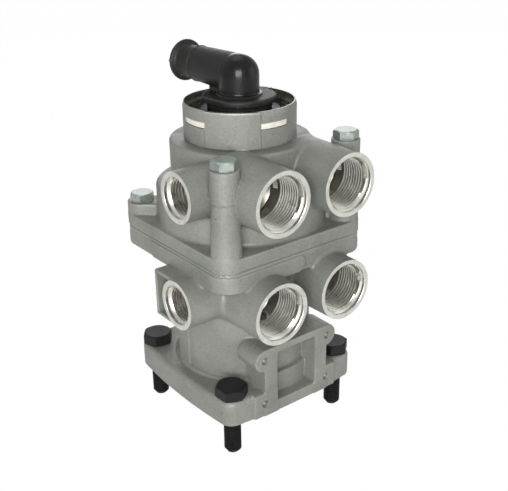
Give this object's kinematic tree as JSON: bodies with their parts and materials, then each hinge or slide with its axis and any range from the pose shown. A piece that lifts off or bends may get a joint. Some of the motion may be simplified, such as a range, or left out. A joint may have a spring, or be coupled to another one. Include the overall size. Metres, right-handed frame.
{
  "type": "foot brake valve",
  "caption": "Two-circuit pneumatic foot brake valve: stacked cast housings with threaded ports, a sprung plunger and a swivelling exhaust elbow, standing on its mounting bolts.",
  "frame": {"origin": "centre of the mounting bolt pattern on the mounting face", "axes": "+Z along the valve axis from the mounting face to the exhaust elbow; -Y is the side with the large ports; -X the side with the small ports"},
  "size_m": [0.0895, 0.0924, 0.1756],
  "materials": {
    "cast_aluminium": "sand-textured die casting with machined port faces",
    "zinc_steel": "zinc plated, slightly green passivation",
    "black_steel": "matte black oxide",
    "black_plastic": "moulded, satin",
    "ring_steel": "phosphated spring steel",
    "yellow_zinc_steel": "yellow zinc plated",
    "black_rubber": "moulded rubber",
    "spring_steel": "drawn wire",
    "turned_aluminium": "turned",
    "valve_rubber": "rubber faced",
    "brass_guide": "turned",
    "white_nylon": "natural nylon"
  },
  "bodies": {
    "root": {"lower_housing": "cast_aluminium", "upper_housing": "cast_aluminium", "housing_seal": "black_rubber", "long_housing_bolts": "zinc_steel", "short_housing_bolts": "zinc_steel", "mounting_bolts": "black_steel", "plunger_guide": "black_plastic", "plunger_guide_ring": "ring_steel", "dust_boot": "black_rubber", "primary_return_spring": "spring_steel", "primary_valve_spring": "spring_steel", "primary_valve_guide": "brass_guide", "primary_guide_seal": "black_rubber", "primary_guide_ring": "ring_steel", "relay_return_spring": "spring_steel", "secondary_valve_spring": "spring_steel", "secondary_valve_guide": "brass_guide", "secondary_guide_seal": "black_rubber", "secondary_guide_ring": "ring_steel", "exhaust_cup": "black_plastic", "exhaust_cup_seal": "black_rubber", "cup_snap_ring": "white_nylon"},
    "plunger": {"plunger": "yellow_zinc_steel", "graduating_spring": "spring_steel"},
    "primary_piston": {"primary_piston": "turned_aluminium", "primary_piston_seal": "black_rubber"},
    "primary_valve": {"primary_valve": "valve_rubber"},
    "relay_piston": {"relay_piston": "turned_aluminium", "relay_piston_seal": "black_rubber"},
    "secondary_valve": {"secondary_valve": "valve_rubber"},
    "exhaust_elbow": {"exhaust_elbow": "black_plastic"}
  },
  "joints": [
    {"name": "plunger_press", "type": "slide", "parent": "root", "child": "plunger", "axis": [0, 0, 1], "range_m": [0, 0.009], "stiffness_N_per_m": 2500, "springref_m": -0.006, "deforming": ["dust_boot", "graduating_spring"]},
    {"name": "primary_piston_slide", "type": "slide", "parent": "root", "child": "primary_piston", "axis": [0, 0, 1], "range_m": [0, 0.0045], "deforming": ["primary_return_spring"]},
    {"name": "primary_valve_lift", "type": "slide", "parent": "root", "child": "primary_valve", "axis": [0, 0, 1], "range_m": [0, 0.0036], "deforming": ["primary_valve_spring"]},
    {"name": "relay_piston_slide", "type": "slide", "parent": "root", "child": "relay_piston", "axis": [0, 0, 1], "range_m": [0, 0.0036], "deforming": ["relay_return_spring"]},
    {"name": "secondary_valve_lift", "type": "slide", "parent": "root", "child": "secondary_valve", "axis": [0, 0, 1], "range_m": [0, 0.0027], "deforming": ["secondary_valve_spring"]},
    {"name": "elbow_swivel", "type": "hinge", "parent": "root", "child": "exhaust_elbow", "pos_m": [0, 0, 0.132], "axis": [0, 0, 1], "continuous": true}
  ],
  "couplings": [
    {"joint": "primary_piston_slide", "follows": "plunger_press", "ratio": 0.5},
    {"joint": "primary_valve_lift", "follows": "plunger_press", "ratio": 0.4},
    {"joint": "relay_piston_slide", "follows": "plunger_press", "ratio": 0.4},
    {"joint": "secondary_valve_lift", "follows": "plunger_press", "ratio": 0.3}
  ]
}
